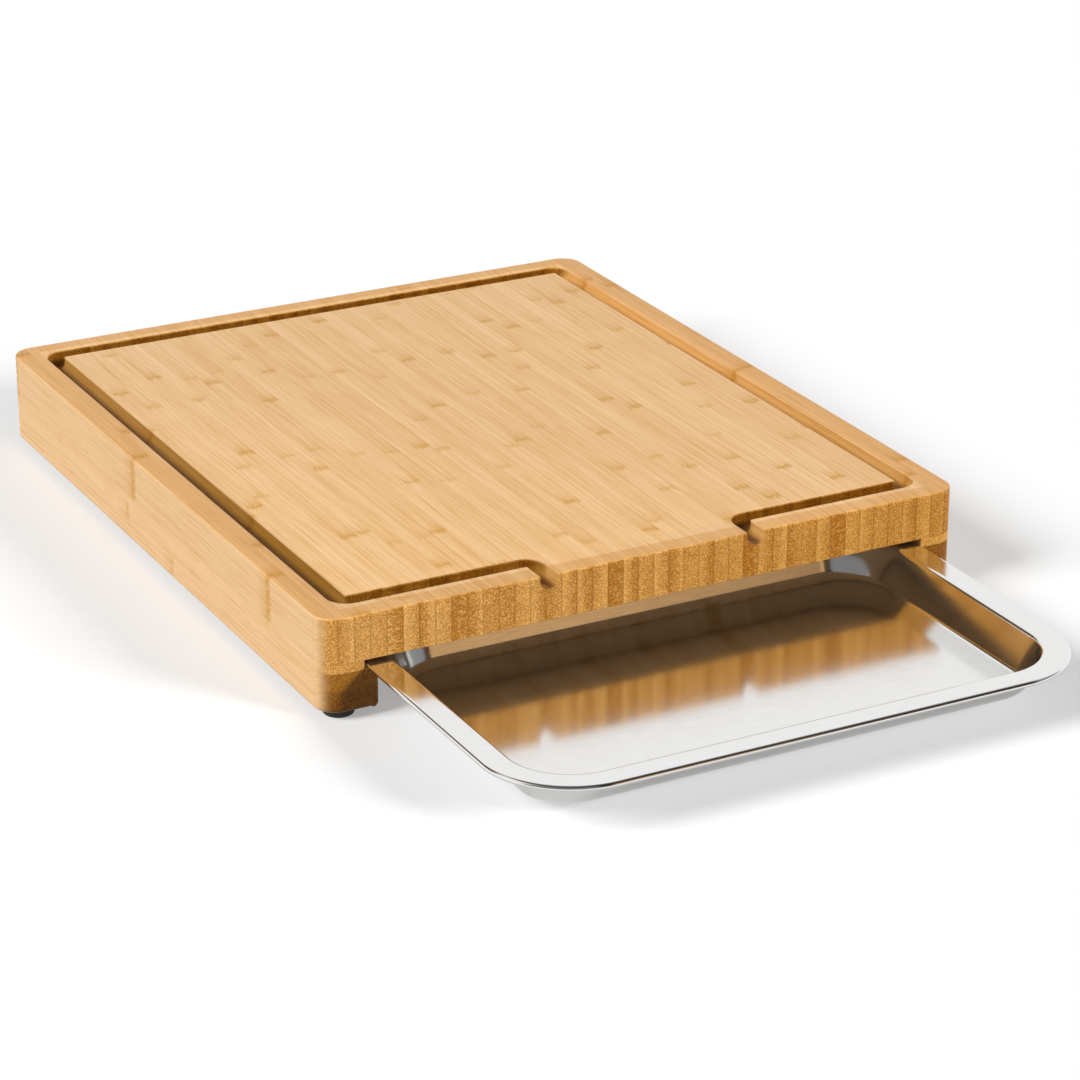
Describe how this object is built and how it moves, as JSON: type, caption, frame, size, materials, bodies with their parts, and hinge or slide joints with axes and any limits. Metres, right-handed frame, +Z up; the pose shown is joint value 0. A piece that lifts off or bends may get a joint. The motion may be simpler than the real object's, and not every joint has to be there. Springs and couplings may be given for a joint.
{
  "type": "cutting board with drawer trays",
  "caption": "Bamboo cutting board on rubber feet, with a juice groove, two spouts in the front face and two steel drawer trays that slide out beneath it.",
  "frame": {"origin": "on the table plane under the feet, at the middle of the footprint of the board with its front tray drawn out as at rest", "axes": "+X to the right and +Y to the back, seen from the front, where the spouts are; +Z up through the cutting surface"},
  "size_m": [0.3, 0.487, 0.045],
  "materials": {
    "bamboo": "oiled bamboo strips, satin, with end grain on the front and back faces",
    "tray_steel": "fine brushed stainless steel sheet, bright at the rim",
    "rubber": "matt black rubber"
  },
  "bodies": {
    "board": {"top_panel": "bamboo", "left_spacer": "bamboo", "left_rail_upper": "bamboo", "left_rail_lower": "bamboo", "right_spacer": "bamboo", "right_rail_upper": "bamboo", "right_rail_lower": "bamboo", "centre_divider": "bamboo", "front_left_foot": "rubber", "front_right_foot": "rubber", "rear_left_foot": "rubber", "rear_right_foot": "rubber"},
    "front_drawer": {"front_tray": "tray_steel"},
    "rear_drawer": {"rear_tray": "tray_steel"}
  },
  "joints": [
    {"name": "front_tray_slide", "type": "slide", "parent": "board", "child": "front_drawer", "axis": [0, -1, 0], "range_m": [-0.137, 0.04]},
    {"name": "rear_tray_slide", "type": "slide", "parent": "board", "child": "rear_drawer", "axis": [0, 1, 0], "range_m": [0, 0.177]}
  ]
}
